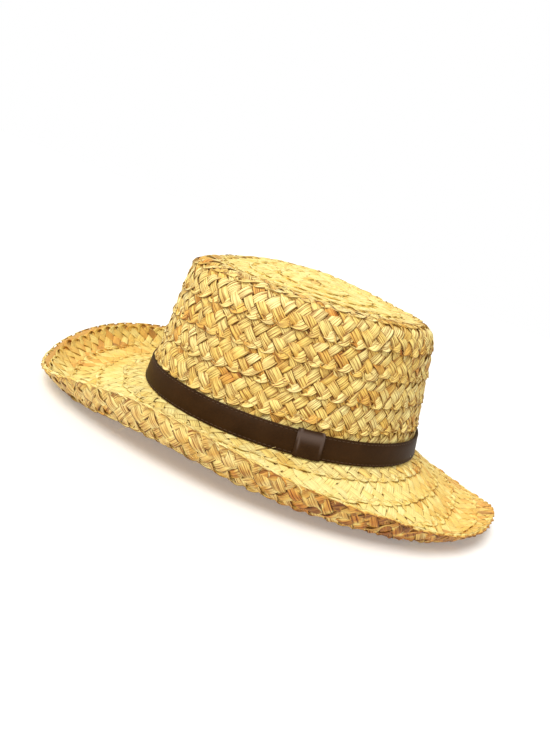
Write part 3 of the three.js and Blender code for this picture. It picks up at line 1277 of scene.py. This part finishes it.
@dataclass
class LeatherBand:
    """Leather that follows the oval of the crown's foot: its strap and its keeper."""

    form: HatForm
    seat: Seat
    name: str
    profile: tuple[tuple[float, float], ...]
    thick: float
    base: float = 1.6
    bevel: float = 0.25
    bevel_segments: int = 2
    smooth_angle: float = math.radians(40.0)
    segments: int = 360
    middle: float | None = None
    reach: float = 0.0
    sheen_places: SheenPlaces = SheenPlaces()

    def outline(self, height: float, off: float) -> tuple[float, float, float]:
        """Half axes and shift of the oval at one height of the section.

        Args:
            height: Height above the lower edge.
            off: Distance off the wall's middle line.

        Returns:
            Half length, half width and shift along x, in metres.
        """
        level = self.base + height
        grow = off - level * math.tan(self.form.wall_lean)
        back = self.form.tip_back * level / self.form.crown_height
        return (self.form.half_length + grow) * MM, (self.form.half_width + grow) * MM, -back * MM

    def build(self) -> bpy.types.Object:
        """Sweeps the section round the oval, cuts the arc and gives it its thickness.

        Returns:
            The piece.
        """
        bpy.ops.object.select_all(action="DESELECT")
        bpy.ops.mesh.primitive_circle_add(vertices=self.segments, radius=1.0)
        piece = bpy.context.object
        piece.name = self.name
        piece.data.name = self.name
        if self.middle is not None:
            self.keep_arc(piece)
        centre = (0.0, 0.0, 0.0)
        with Edit(piece):
            long, wide, shift = self.outline(*self.profile[0])
            bpy.ops.transform.resize(value=(long, wide, 1.0), center_override=centre)
            bpy.ops.transform.translate(value=(shift, 0.0, (self.base + self.profile[0][0]) * MM))
            for below, here in zip(self.profile, self.profile[1:]):
                old_long, old_wide, old_shift = self.outline(*below)
                long, wide, shift = self.outline(*here)
                bpy.ops.mesh.extrude_region_move()
                bpy.ops.transform.translate(value=(-old_shift, 0.0, 0.0))
                scale = (long / old_long, wide / old_wide, 1.0)
                bpy.ops.transform.resize(value=scale, center_override=centre)
                bpy.ops.transform.translate(value=(shift, 0.0, (here[0] - below[0]) * MM))
            bpy.ops.mesh.select_all(action="SELECT")
            bpy.ops.mesh.normals_make_consistent(inside=False)
        apply_modifier(piece, "SOLIDIFY", thickness=self.thick * MM, offset=-1.0, use_even_offset=True)
        apply_modifier(
            piece, "BEVEL", width=self.bevel * MM, segments=self.bevel_segments, limit_method="ANGLE"
        )
        self.mark_painted_sheen(piece)
        piece.matrix_world = self.seat.matrix()
        bpy.ops.object.transform_apply(location=True, rotation=True, scale=True)
        bpy.ops.object.shade_smooth_by_angle(angle=self.smooth_angle)
        return piece

    def mark_painted_sheen(self, piece: bpy.types.Object) -> None:
        """Marks where a painted sheen lies on the leather: on an arc, a highlight on its upper part and
        along a crease beside each end.

        Args:
            piece: The piece, not yet seated.
        """
        places = np.empty(3 * len(piece.data.vertices))
        piece.data.vertices.foreach_get("co", places)
        x, y, z = places.reshape(-1, 3).T / MM
        painted_sheen = np.zeros(len(x))
        if self.middle is not None:
            turn = np.arctan2(y / self.form.half_width, x / self.form.half_length) - self.middle
            from_end = self.reach / 2 - np.abs(turn) * self.form.half_width
            height = z - self.base
            sheen_places = self.sheen_places
            top_sheen = smooth(height, *sheen_places.top_sheen_starts) * (1 - smooth(height, *sheen_places.top_sheen_ends))
            from_crease = np.abs(from_end - sheen_places.crease_place) / sheen_places.crease_half
            crease_sheen = np.clip(1 - from_crease, 0.0, 1.0) * smooth(height, *sheen_places.crease_starts)
            # Painted sheen: a highlight on the keeper's upper part and along its creases
            painted_sheen = np.maximum(sheen_places.top_sheen * top_sheen, sheen_places.crease_sheen * crease_sheen)
        piece.data.attributes.new("painted_sheen", "FLOAT", "POINT").data.foreach_set("value", painted_sheen)

    def keep_arc(self, piece: bpy.types.Object) -> None:
        """Deletes the circle outside the arc.

        Args:
            piece: The unit circle.
        """
        half = self.reach / 2 / self.form.half_width
        with Edit(piece):
            bpy.ops.mesh.select_all(action="DESELECT")
            bpy.ops.object.mode_set(mode="OBJECT")
            for vertex in piece.data.vertices:
                turn = math.atan2(vertex.co.y, vertex.co.x) - self.middle
                vertex.select = abs(math.remainder(turn, 2 * math.pi)) > half
            bpy.ops.object.mode_set(mode="EDIT")
            bpy.ops.mesh.delete(type="VERT")


@dataclass
class Stitches:
    """Thread stitches in a row along each edge of the strap."""

    band: LeatherBand
    heights: tuple[float, float] = (1.5, 15.0)
    off: float = 4.0
    pitch: float = 3.3
    length: float = 2.3
    radius: float = 0.22
    taper: float = 1.6
    samples: int = 4000
    stations: int = 4
    sides: int = 6

    def build(self) -> bpy.types.Object:
        """Joined mesh of both rows.

        Returns:
            The piece.
        """
        t = np.linspace(-0.5, 0.5, self.stations)
        shrink = np.sqrt(1 - (self.taper * t) ** 2)
        paths = []
        normals = []
        for height in self.heights:
            long, wide, shift = self.band.outline(height, self.off)
            fine = np.linspace(0.0, 2 * math.pi, self.samples)
            steps = np.hypot(np.diff(long * np.cos(fine)), np.diff(wide * np.sin(fine)))
            along = np.concatenate(([0.0], np.cumsum(steps))) / MM
            count = round(along[-1] / self.pitch)
            places = (np.arange(count)[:, None] + 0.5) * along[-1] / count + t * self.length
            angle = np.interp(places, along, fine)
            level = np.full(angle.shape, (self.band.base + height) * MM)
            points = np.stack((long * np.cos(angle) + shift, wide * np.sin(angle), level), -1)
            paths.append(points / MM)
            normals.append(np.stack((np.cos(angle[:, 0]), np.sin(angle[:, 0]), 0 * angle[:, 0]), -1))
        paths = self.band.seat.place(np.concatenate(paths))
        turn = np.array(self.band.seat.matrix())[:3, :3]
        radii = np.broadcast_to(self.radius * shrink * MM, paths.shape[:2])
        return tubes_object("strap_stitches", paths, np.concatenate(normals) @ turn.T, radii, self.sides)


@dataclass(frozen=True)
class Lamp:
    """Soft sun light, by its strength, the width of its disc and the direction in which it stands."""

    name: str
    energy: float
    disc: float
    towards: tuple[float, float, float]

    def hang(self) -> None:
        """Makes the light and turns it towards the hat."""
        data = bpy.data.lights.new(self.name, "SUN")
        data.energy = self.energy
        data.angle = math.radians(self.disc)
        light = bpy.data.objects.new(self.name, data)
        light.location = self.towards
        light.rotation_euler = Vector(self.towards).to_track_quat("Z", "Y").to_euler()
        bpy.context.scene.collection.objects.link(light)


@dataclass
class Studio:
    """Pale floor, soft light and the camera of the photograph."""

    seat: Seat
    frame_width: int = 550
    frame_height: int = 733
    focal_pixels: float = 668.2
    sensor: float = 36.0
    distance: float = 508.3
    rise: float = math.radians(16.65)
    swing: float = math.radians(-19.28)
    lean: float = math.radians(18.54)
    hat_pixel: tuple[float, float] = (282.5, 410.1)
    clip_start: float = 10.0
    floor_reach: float = 30000.0
    floor_corners: int = 96
    floor_tone: float = 0.76
    floor_roughness: float = 0.9
    floor_glow: float = 0.25
    lamps: tuple[Lamp, ...] = (
        Lamp("key", 2.9, 40.0, (-0.62, -0.5, 1.15)),
        Lamp("fill", 1.0, 40.0, (-0.6, -0.8, 0.12)),
        Lamp("back", 0.65, 60.0, (0.35, 0.6, 0.75)),
    )
    surround: Colour = (1.0, 0.91, 0.74)
    surround_strength: float = 0.5

    def camera(self) -> bpy.types.Object:
        """Camera that sees the hat's origin at its pixel, turned as the photograph is.

        Returns:
            The camera object.
        """
        stand = Vector((
            math.sin(self.swing) * math.cos(self.rise),
            -math.cos(self.swing) * math.cos(self.rise),
            math.sin(self.rise),
        ))
        ahead = -stand
        right = ahead.cross(Vector((0.0, 0.0, 1.0))).normalized()
        up = right.cross(ahead)
        turned_right = right * math.cos(self.lean) + up * math.sin(self.lean)
        turned_up = up * math.cos(self.lean) - right * math.sin(self.lean)
        pan_x = (self.hat_pixel[0] - self.frame_width / 2) / self.focal_pixels
        pan_y = (self.frame_height / 2 - self.hat_pixel[1]) / self.focal_pixels
        pan = math.atan(pan_x)
        tilt = math.atan2(pan_y, math.hypot(1.0, pan_x))
        level = ahead * math.cos(tilt) - turned_up * math.sin(tilt)
        axis_x = turned_right * math.cos(pan) + level * math.sin(pan)
        axis_y = turned_up * math.cos(tilt) + ahead * math.sin(tilt)
        axis_z = turned_right * math.sin(pan) - level * math.cos(pan)
        data = bpy.data.cameras.new("camera")
        data.sensor_width = self.sensor
        data.lens = self.focal_pixels * self.sensor / self.frame_height
        data.clip_start = self.clip_start * MM
        camera = bpy.data.objects.new("camera", data)
        bpy.context.scene.collection.objects.link(camera)
        turn = Matrix((axis_x, axis_y, axis_z)).transposed().to_4x4()
        place = Matrix.Translation(stand * self.distance * MM) @ turn
        camera.matrix_world = self.seat.matrix() @ place
        bpy.context.scene.camera = camera
        return camera

    def floor(self) -> bpy.types.Object:
        """Wide pale floor under the hat.

        Returns:
            The floor.
        """
        bpy.ops.object.select_all(action="DESELECT")
        bpy.ops.mesh.primitive_circle_add(
            vertices=self.floor_corners, radius=self.floor_reach * MM, fill_type="NGON"
        )
        floor = bpy.context.object
        floor.name = "floor"
        grey = (self.floor_tone, self.floor_tone, self.floor_tone)
        finish = PlainFinish("floor_paper", grey, self.floor_roughness, cloud=0.0, glow=self.floor_glow)
        floor.data.materials.append(finish.material())
        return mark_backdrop(floor)

    def lights(self) -> None:
        """Key from the upper left, fill from the left and a back light on the tip."""
        for lamp in self.lamps:
            lamp.hang()

    def world(self) -> None:
        """Even warm light from all round, with a white ground behind the floor's edge."""
        world = bpy.data.worlds.new("surround")
        world.use_nodes = True
        tree = world.node_tree
        glow = tree.nodes["Background"]
        glow.inputs["Color"].default_value = (*self.surround, 1.0)
        glow.inputs["Strength"].default_value = self.surround_strength
        white = tree.nodes.new("ShaderNodeBackground")
        white.inputs["Color"].default_value = (1.0, 1.0, 1.0, 1.0)
        white.inputs["Strength"].default_value = 1.0
        path = tree.nodes.new("ShaderNodeLightPath")
        mix = tree.nodes.new("ShaderNodeMixShader")
        tree.links.new(path.outputs["Is Camera Ray"], mix.inputs[0])
        tree.links.new(glow.outputs[0], mix.inputs[1])
        tree.links.new(white.outputs[0], mix.inputs[2])
        tree.links.new(mix.outputs[0], tree.nodes["World Output"].inputs["Surface"])
        bpy.context.scene.world = world

    def build(self) -> None:
        """Makes the whole studio."""
        self.camera()
        self.floor()
        self.lights()
        self.world()
        bpy.context.scene.view_settings.view_transform = "Standard"


def settle(piece: bpy.types.Object, part: Part, material: bpy.types.Material) -> None:
    """Dresses a finished piece and makes it stand for its node.

    Args:
        piece: The piece.
        part: Part of the hat that it belongs to.
        material: Its material.
    """
    piece.data.materials.clear()
    piece.data.materials.append(material)
    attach(piece, BODY)
    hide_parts(part.node)
    log.info("%s: %d faces, stands for %s", piece.name, len(piece.data.polygons), part.node)


# More turns than the plait has, for the course that reaches back to its start
ALL_TURNS = 99.0
COURSES = (
    Course("brim_outer_plait", Part.BRIM, 0.0, 2.5),
    Course("brim_inner_plait", Part.BRIM, 2.5, 5.0),
    Course("crown_side_plait", Part.CROWN, 5.0, 8.0),
    Course("crown_top_plait", Part.CROWN, 8.0, 11.0),
    Course("crown_tip_plait", Part.CROWN, 11.0, ALL_TURNS),
)

# Sections of the strap and the keeper: height above the lower edge, distance off the wall's middle
STRAP_SECTION = (
    (0.0, 3.5), (0.4, 3.85), (1.2, 3.95), (1.5, 3.82), (1.8, 3.95), (5.0, 4.05), (8.2, 4.1),
    (11.5, 4.05), (14.7, 3.95), (15.0, 3.82), (15.3, 3.95), (16.1, 3.85), (16.5, 3.5),
)
KEEPER_SECTION = (
    (-0.2, 5.0), (0.2, 5.35), (4.0, 5.6), (7.0, 5.7), (9.0, 5.7), (10.5, 5.65), (12.0, 5.6),
    (13.5, 5.5), (15.0, 5.4), (16.2, 5.3), (17.0, 4.9), (17.5, 4.1), (17.5, 2.8),
)

# The strap reaches down to the straw, and the keeper lies over the strap
STRAP_THICK = 2.6
KEEPER_THICK = 1.2
KEEPER_WIDTH = 15.5
KEEPER_ANGLE = math.radians(-94.0)
KEEPER_SEGMENTS = 720

# The sheet inside the brim's plait ends this far from the rim
RIM_INSET = 1.0


def main() -> None:
    """Builds the hat and its studio."""
    logging.basicConfig(level=logging.INFO, format="%(name)s: %(message)s")
    seat = Seat.from_record(frame["record"])
    form = HatForm()
    Studio(seat).build()
    surface = Surface(form, seat)
    plait = Plait(surface, form)
    fibres = Fibres(plait)
    raffia = RaffiaFinish().material()
    pale = PlainFinish("loose_fibre", srgb(246, 224, 150)).material()
    # Sheet colours are straw darkened as painted shade seen in the gaps, darkest on the wall
    sheets = (
        ("tip", Part.CROWN, 0.0, form.tip_span, srgb(222, 182, 100)),
        ("wall", Part.CROWN, form.tip_span, form.headline, srgb(156, 106, 44)),
        ("brim", Part.BRIM, form.headline, form.rim - RIM_INSET, srgb(208, 160, 84)),
    )
    for name, part, inner, outer, colour in sheets:
        core = Core(surface, f"{name}_plait_core", inner, outer)
        settle(core.build(), part, PlainFinish(f"{name}_core_straw_and_gap_shade", colour).material())
    for course in COURSES:
        settle(plait.build(course), course.part, raffia)
        settle(fibres.build(course), course.part, pale)
    strap_finish = LeatherFinish("strap_leather", dark=srgb(43, 26, 11), light=srgb(60, 39, 20))
    strap = LeatherBand(form, seat, "strap", STRAP_SECTION, STRAP_THICK)
    settle(strap.build(), Part.STRAP, strap_finish.material())
    thread = PlainFinish("strap_thread", srgb(72, 50, 33)).material()
    settle(Stitches(strap).build(), Part.STRAP, thread)
    keeper_finish = LeatherFinish("keeper_leather", dark=srgb(46, 29, 15), light=srgb(63, 43, 27))
    keeper = LeatherBand(
        form, seat, "keeper", KEEPER_SECTION, KEEPER_THICK,
        segments=KEEPER_SEGMENTS, middle=KEEPER_ANGLE, reach=KEEPER_WIDTH,
    )
    settle(keeper.build(), Part.KEEPER, keeper_finish.material())


if __name__ == "__main__":
    main()
